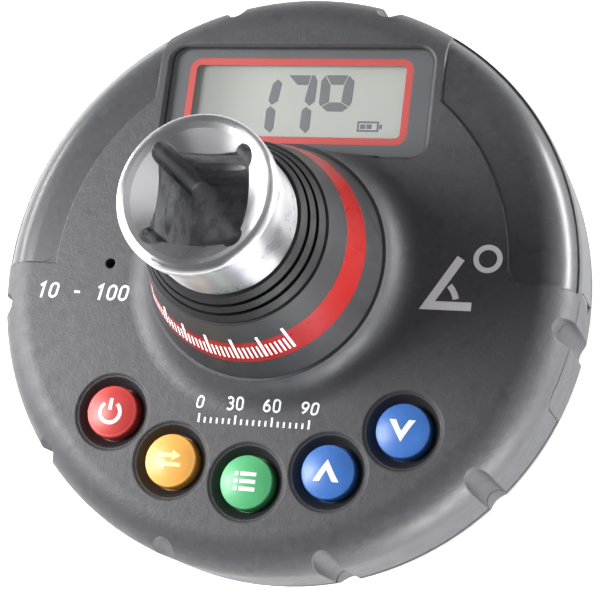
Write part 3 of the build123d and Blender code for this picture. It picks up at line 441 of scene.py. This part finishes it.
def band(outer, inner):
    """The area between two closed outlines with the same number of points."""

    def build(bm):
        rings = [[bm.verts.new((x, y, 0)) for x, y in outline] for outline in (outer, inner)]
        for i in range(len(outer)):
            j = (i + 1) % len(outer)
            bm.faces.new((rings[0][i], rings[0][j], rings[1][j], rings[1][i]))

    return build


def stroke(path, width):
    """A line of even width with mitred corners; a path that ends where it starts is closed."""

    def build(bm):
        points = [Vector(p) for p in path]
        closed = (points[0] - points[-1]).length < CLOSED_WITHIN
        steps = [(b - a).normalized() for a, b in zip(points, points[1:])]
        if closed:
            points.pop()
        rows = []
        for i, point in enumerate(points):
            into = steps[i - 1] if i or closed else steps[0]
            out = steps[min(i, len(steps) - 1)]
            along = (into + out).normalized()
            side = Vector((-along.y, along.x)) * width / 2 / max(SHARPEST_MITRE, along.dot(out))
            rows.append([bm.verts.new((*(point + side * share), 0)) for share in (-1, 1)])
        for first, second in zip(rows, rows[1:] + rows[:1] if closed else rows[1:]):
            bm.faces.new((first[0], second[0], second[1], first[1]))

    return build


def arc(centre, radius, start, end, pieces=28):
    """Points along an arc, angles in degrees."""
    turns = [math.radians(start + (end - start) * i / pieces) for i in range(pieces + 1)]
    return [(centre[0] + radius * math.cos(t), centre[1] + radius * math.sin(t)) for t in turns]


# Strokes of each figure, in shares of its height
FIGURE_WIDTH = 0.58
FIGURE_ADVANCE = 0.76
FIGURE_SLANT = 0.16
FIGURE_WEIGHT = 0.155
long_loop = arc((0.29, 0.69), 0.23, 0, 180, 16) + arc((0.29, 0.31), 0.23, 180, 360, 16) + [(0.52, 0.69)]
six = [arc((0.29, 0.31), 0.23, 0, 360), arc((0.66, 0.31), 0.6, 180, 112, 12)]
FIGURES = {
    "0": [long_loop],
    "1": [[(0.1, 0.76), (0.34, 0.94), (0.34, 0.0)]],
    "3": [arc((0.27, 0.7), 0.22, 150, -90), arc((0.27, 0.29), 0.24, 110, -150)],
    "6": six,
    "9": [[(FIGURE_WIDTH - x, 1 - y) for x, y in path] for path in six],
    "-": [[(0.12, 0.45), (0.5, 0.45)]],
    " ": [],
}


def numbers(text, corner, height):
    """Slanted figures along +X from a lower left corner."""
    made = []
    for place, character in enumerate(text):
        start = place * FIGURE_ADVANCE
        for path in FIGURES[character]:
            points = [
                (corner[0] + (x + y * FIGURE_SLANT + start) * height, corner[1] + y * height) for x, y in path
            ]
            made.append(stroke(points, FIGURE_WEIGHT * height))
    return made


def flat_print(shapes):
    """All shapes of one print in one mesh, facing up, each a little above the one before."""
    bm = bmesh.new()
    for order, shape in enumerate(shapes):
        known = set(bm.verts)
        shape(bm)
        for vertex in set(bm.verts) - known:
            vertex.co.z = order * LIFT
    bmesh.ops.remove_doubles(bm, verts=bm.verts, dist=LIFT / 4)
    bmesh.ops.recalc_face_normals(bm, faces=bm.faces)
    for face in bm.faces:
        if face.normal.z < 0:
            face.normal_flip()
    return bm


def cut_into_cells(bm, cell):
    """Cuts across X and Y, so that the print can follow a curved surface."""
    for axis in (0, 1):
        low = min(v.co[axis] for v in bm.verts)
        high = max(v.co[axis] for v in bm.verts)
        for k in range(1, math.ceil((high - low) / cell)):
            place, direction = Vector(), Vector()
            place[axis], direction[axis] = low + k * cell, 1
            everything = bm.verts[:] + bm.edges[:] + bm.faces[:]
            bmesh.ops.bisect_plane(bm, geom=everything, plane_co=place, plane_no=direction)


def thicken(bm, thickness):
    """Sides and an underside below the print's face."""
    tops, rims = bm.faces[:], [e for e in bm.edges if len(e.link_faces) == 1]
    lower = {v: bm.verts.new(v.co - Vector((0, 0, thickness))) for v in bm.verts[:]}
    for edge in rims:
        corner = edge.link_loops[0]
        first, second = corner.vert, corner.link_loop_next.vert
        bm.faces.new((second, first, lower[first], lower[second]))
    for face in tops:
        bm.faces.new([lower[v] for v in reversed(face.verts)])


def laid(name, shapes, height, material, body, slot=None, proud=0.03 * MM, thickness=0.08 * MM, cell=None):
    """One printed layer over a surface, split into cells where the surface is curved."""
    bm = flat_print(shapes)
    if cell:
        cut_into_cells(bm, cell)
    for vertex in bm.verts:
        vertex.co.z += height(vertex.co.x, vertex.co.y) + proud
    thicken(bm, thickness)
    mesh = bpy.data.meshes.new(name)
    bm.to_mesh(mesh)
    bm.free()
    mesh.materials.append(material)
    thing = bpy.data.objects.new(name, mesh)
    bpy.context.scene.collection.objects.link(thing)
    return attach(thing, body)


def ring(centre, outer, inner, count=48):
    """A round ring."""
    outlines = [arc(centre, radius, 0, 360, count)[:-1] for radius in (outer, inner)]
    return band(*outlines)


def millimetres(points, centre=(0, 0)):
    """Points written in millimetres round a centre in metres."""
    return [(centre[0] + x * MM, centre[1] + y * MM) for x, y in points]


def rounded_rectangle(centre, half_width, half_height, corner, steps=8):
    """Outline points round a rectangle, anticlockwise."""
    points = []
    for side_x, side_y, start in ((1, 1, 0), (-1, 1, 90), (-1, -1, 180), (1, -1, 270)):
        for step in range(steps + 1):
            turn = math.radians(start + 90 * step / steps)
            x = side_x * (half_width - corner) + corner * math.cos(turn)
            y = side_y * (half_height - corner) + corner * math.sin(turn)
            points.append((centre[0] + x, centre[1] + y))
    return points


# Print on the back of the window: grey border and red line
lens_half = (lens_high - lens_low) / 2
border_gap = 0.05 * MM
border_corner = 2.1 * MM
line_centre = (-0.28 * MM, window_centre.y + 0.35 * MM)
line_half = (18.1 * MM, 7.0 * MM)
line_corner = 1.9 * MM
line_width = 1.15 * MM
behind_lens = level(lens_low.z)
border_half = (lens_half.x - border_gap, lens_half.y - border_gap)
inner_half = (line_half[0] - line_width, line_half[1] - line_width)
border_outer = rounded_rectangle(window_centre, *border_half, border_corner)
line_outer = rounded_rectangle(line_centre, *line_half, line_corner)
line_inner = rounded_rectangle(line_centre, *inner_half, line_corner - line_width)
border = band(border_outer, line_outer)
line = band(line_outer, line_inner)
backing = {"proud": -0.01 * MM, "thickness": 0.07 * MM}
laid("printed_border", [border], behind_lens, panel_grey, "housing", "lcd_grey", **backing)
laid("printed_red_line", [line], behind_lens, panel_red, "housing", "band_red", **backing)

# Display, in millimetres from the drive axis: a one, a seven and a raised ring in slanted segments
one = [
    [(-4.0, 31.2), (-4.75, 30.45), (-5.15, 27.7), (-4.55, 26.98), (-3.58, 27.6), (-3.25, 30.55)],
    [(-4.72, 26.8), (-5.3, 26.1), (-5.25, 23.2), (-4.22, 22.4), (-3.76, 23.1), (-3.78, 26.1)],
]
seven = [
    [(-2.25, 31.9), (-0.72, 30.3), (0.95, 30.3), (1.25, 31.9)],
    [(1.4, 31.9), (1.1, 30.25), (0.72, 27.65), (1.6, 26.88), (2.38, 27.6), (2.42, 30.9), (1.95, 31.9)],
    [(1.1, 26.72), (0.48, 26.15), (0.46, 23.3), (1.5, 22.4), (2.06, 23.2), (2.02, 26.1)],
]
raised_ring = [
    [(3.75, 31.95), (4.75, 30.4), (6.65, 30.4), (7.25, 31.95)],
    [(7.4, 31.9), (6.8, 30.3), (6.62, 27.6), (7.95, 26.85), (8.3, 27.6), (8.36, 31.0)],
    [(7.8, 26.75), (6.5, 27.5), (4.78, 27.5), (3.6, 26.75), (4.5, 26.02), (7.0, 26.02)],
    [(3.4, 26.85), (4.65, 27.6), (4.6, 30.3), (3.6, 31.85), (3.05, 31.0), (3.1, 27.3)],
]


def box(left, right, low, high):
    """A rectangle's corners, given in millimetres, anticlockwise from the upper right."""
    return millimetres([(right, high), (left, high), (left, low), (right, low)])


battery_sign = [
    band(box(9.6, 13.0, 22.8, 24.5), box(9.9, 12.7, 23.1, 24.2)),
    polygon(box(13.1, 13.5, 23.3, 24.0)),
    polygon(box(10.1, 10.9, 23.3, 24.0)),
    polygon(box(11.1, 11.9, 23.3, 24.0)),
]
segments = [polygon(millimetres(points)) for points in one + seven + raised_ring] + battery_sign
on_glass = level(glass_high.z)
laid("display_digits", segments, on_glass, segment_grey, "housing", "lcd_grey", 0.02 * MM, 0.03 * MM)


# Signs on the button caps, in millimetres round the centre of each
def on_cap(name, shapes, material=print_white):
    """One print that moves with its key."""
    low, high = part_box(name + "_button")
    centre = (low + high) / 2
    made = [shape(centre) for shape in shapes]
    height = surface_of(name + "_button")
    laid(name + "_sign", made, height, material, name + "_key", proud=0.025 * MM, cell=0.45 * MM)


def cap_stroke(points, width):
    return lambda centre: stroke(millimetres(points, centre), width * MM)


def cap_polygon(points):
    return lambda centre: polygon(millimetres(points, centre))


def flipped(points):
    """The same outline turned half round."""
    return [(-x, -y) for x, y in points]


chevron = [(0.0, 1.75), (-1.95, -1.5), (-0.95, -1.5), (0.0, 0.2), (0.95, -1.5), (1.95, -1.5)]
on_cap("up", [cap_polygon(chevron)])
on_cap("down", [cap_polygon(flipped(chevron))])
power_width = 0.58
power_sweep = (128, 412)
power_ring = cap_stroke(arc((0, -0.2), 1.6, *power_sweep), power_width)
on_cap("clear", [power_ring, cap_stroke([(0, 0.1), (0, 1.9)], power_width)])
arrow = [(-1.9, 0.35), (0.5, 0.35), (0.5, -0.15), (1.9, 0.7), (0.5, 1.55), (0.5, 1.0), (-1.9, 1.0)]
on_cap("unit", [cap_polygon(arrow), cap_polygon(flipped(arrow))], print_cream)
row_width = 0.6
rows = (1.1, 0.0, -1.1)
bars = [cap_stroke([(-0.75, y), (1.65, y)], row_width) for y in rows]
dots = [cap_stroke([(-1.65, y), (-1.05, y)], row_width) for y in rows]
on_cap("memory", bars + dots)

# Plain marks on the face: a range, a scale and an angle sign
LONG_EVERY = 6
on_face = surface_of("front_cover")
range_corner = (-37.9 * MM, -6.1 * MM)
range_height = 2.55 * MM
laid("range_mark", numbers("10 - 100", range_corner, range_height), on_face, print_white, "housing")

scale_left = -8.55 * MM
scale_step = 0.945 * MM
scale_foot = -24.0 * MM
scale_ticks = 19
figure_foot = -21.9 * MM
figure_height = 1.95 * MM
scale = []
for text, x in (("0", -9.35), ("30", -4.5), ("60", 1.2), ("90", 6.9)):
    scale += numbers(text, (x * MM, figure_foot), figure_height)
for index in range(scale_ticks):
    x = scale_left + index * scale_step
    tall = (0.85 if index % LONG_EVERY else 1.4) * MM
    scale.append(stroke([(x, scale_foot), (x, scale_foot + tall)], 0.32 * MM))
laid("scale_mark", scale, on_face, print_white, "housing")

angle_corner = (24.05 * MM, -4.55 * MM)
angle_arms = stroke(millimetres([(6.55, 0), (0, 0), (4.35, 7.25)], angle_corner), 1.3 * MM)
angle_arc = stroke(arc(angle_corner, 4.3 * MM, 14, 45), 0.9 * MM)
degree_ring = ring((32.36 * MM, 2.74 * MM), 2.15 * MM, 1.35 * MM)
laid("angle_mark", [angle_arms, angle_arc, degree_ring], on_face, print_white, "housing")

# Graduation on the coloured band
_, band_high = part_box("red_band")
band_start = -150
band_step = 2.5
band_ticks = 37
tick_outside = band_high.x - 0.3 * MM
graduation = []
for index in range(band_ticks):
    turn = math.radians(band_start + index * band_step)
    reach, width = (0.85 * MM, 0.3 * MM) if index % LONG_EVERY else (1.5 * MM, 0.42 * MM)
    outward = Vector((math.cos(turn), math.sin(turn)))
    graduation.append(stroke([outward * (tick_outside - reach), outward * tick_outside], width))
on_band = surface_of("red_band", "boss_sleeve")
laid("band_scale", graduation, on_band, print_white, "housing", proud=0.06 * MM, cell=0.3 * MM)


# Soft and sprung parts: copies held by the housing stand in for the CAD nodes, which are hidden
def yielding(node):
    """A copy of a CAD node, held by the housing, that takes the place of the hidden node."""
    soft = bpy.data.objects.new(node + "_free", nodes[node].data.copy())
    bpy.context.scene.collection.objects.link(soft)
    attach(soft, "housing")
    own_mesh(soft)
    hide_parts(node)


for name in caps:
    yielding(name + "_dome")
yielding("detent_spring")


# Camera at the photograph's angle
SENSOR_WIDTH = 36
FOCAL_LENGTH = 112.56
CAMERA_PLACE = (0.087512, -0.071578, 0.296613)
CAMERA_RIGHT = (0.95363, 0.11883, -0.27652)
CAMERA_UP = (-0.04315, 0.96325, 0.26511)
CAMERA_BACK = (0.29786, -0.24089, 0.92372)

camera_data = bpy.data.cameras.new("camera")
camera_data.sensor_width = SENSOR_WIDTH
camera_data.lens = FOCAL_LENGTH
camera_data.clip_start = 0.01
camera = bpy.data.objects.new("camera", camera_data)
bpy.context.scene.collection.objects.link(camera)
camera_axes = Matrix((CAMERA_RIGHT, CAMERA_UP, CAMERA_BACK)).transposed()
camera.matrix_world = Matrix.Translation(CAMERA_PLACE) @ camera_axes.to_4x4()
bpy.context.scene.camera = camera


# Floor, surroundings and lights
FLOOR_HALF = 2
FLOOR_DROP = 0.1 * MM  # keeps the shaft's end clear of the floor's plane
FLOOR_GLOW = 0.55
SKY_STRENGTH = 0.38
DARK = 0.16
NEAR_SIDE = (-0.31, -0.95, 0)


def white_floor():
    """A matt floor that looks white where it is seen directly, without lighting the object more."""
    corners = ((-1, -1), (1, -1), (1, 1), (-1, 1))
    mesh = bpy.data.meshes.new("floor")
    mesh.from_pydata([(x * FLOOR_HALF, y * FLOOR_HALF, -FLOOR_DROP) for x, y in corners], [], [(0, 1, 2, 3)])
    floor = bpy.data.objects.new("floor", mesh)
    bpy.context.scene.collection.objects.link(floor)
    material = bpy.data.materials.new("floor")
    material.use_nodes = True
    graph = Graph(material.node_tree)
    matt = graph.tree.nodes["Principled BSDF"]
    matt.inputs["Base Color"].default_value = (0.9, 0.9, 0.9, 1)
    matt.inputs["Roughness"].default_value = 0.9
    matt.inputs["Specular IOR Level"].default_value = 0.0
    glow = graph.node("ShaderNodeEmission")
    glow.inputs["Strength"].default_value = FLOOR_GLOW
    lit = graph.node("ShaderNodeAddShader")
    graph.link(matt.outputs[0], lit.inputs[0])
    graph.link(glow.outputs[0], lit.inputs[1])
    path = graph.node("ShaderNodeLightPath").outputs
    seen = graph.math("MAXIMUM", path["Is Camera Ray"], path["Is Glossy Ray"])
    seen = graph.math("MAXIMUM", seen, path["Is Transmission Ray"])
    surface = graph.mixed(seen, matt.outputs[0], lit.outputs[0])
    graph.link(surface, graph.tree.nodes["Material Output"].inputs["Surface"])
    mesh.materials.append(material)


def studio():
    """White to the camera, a soft sky on matt surfaces, and bright sides in reflections."""
    world = bpy.data.worlds.new("studio")
    bpy.context.scene.world = world
    world.use_nodes = True
    graph = Graph(world.node_tree)
    direction = graph.node("ShaderNodeTexCoord").outputs["Generated"]
    across = graph.math("ABSOLUTE", graph.parted(direction)["X"])
    walls = graph.ramp(across, 0.35, 0.9, DARK, 1.0)
    towards = graph.node("ShaderNodeVectorMath", operation="DOT_PRODUCT")
    towards.inputs[1].default_value = NEAR_SIDE
    graph.link(direction, towards.inputs[0])
    near = graph.ramp(towards.outputs["Value"], 0.82, 0.96, DARK, 0.9)
    sky = graph.tree.nodes["Background"]
    sides = graph.node("ShaderNodeBackground")
    white = graph.node("ShaderNodeBackground")
    sky.inputs["Strength"].default_value = SKY_STRENGTH
    white.inputs["Strength"].default_value = 1.0
    graph.link(graph.math("MAXIMUM", walls, near), sides.inputs["Strength"])
    for background in (sky, sides, white):
        background.inputs["Color"].default_value = (1, 1, 1, 1)
    path = graph.node("ShaderNodeLightPath").outputs
    reflected = graph.mixed(path["Is Glossy Ray"], sky.outputs[0], sides.outputs[0])
    direct = graph.math("MAXIMUM", path["Is Camera Ray"], path["Is Transmission Ray"])
    surroundings = graph.mixed(direct, reflected, white.outputs[0])
    graph.link(surroundings, graph.tree.nodes["World Output"].inputs["Surface"])


def softbox(name, place, aim, width, height, power):
    """A rectangular area light that points at a place on the object."""
    data = bpy.data.lights.new(name, "AREA")
    data.shape = "RECTANGLE"
    data.size, data.size_y = width, height
    data.energy = power
    light = bpy.data.objects.new(name, data)
    bpy.context.scene.collection.objects.link(light)
    light.location = place
    light.rotation_euler = (Vector(aim) - Vector(place)).to_track_quat("-Z", "Y").to_euler()


white_floor()
studio()
softbox("key", (-0.20, -0.01, 0.225), (-0.03, 0.01, 0.04), 0.12, 0.12, 1.15)
softbox("strip", (-0.30, 0.06, 0.10), (0, 0, 0.04), 0.24, 0.04, 0.6)
softbox("side", (0.30, 0.12, 0.02), (0.03, 0, 0.025), 0.30, 0.05, 1.8)
softbox("low", (0.22, -0.24, 0.02), (0.03, -0.02, 0.02), 0.20, 0.04, 1.6)

bpy.context.scene.view_settings.view_transform = "Standard"
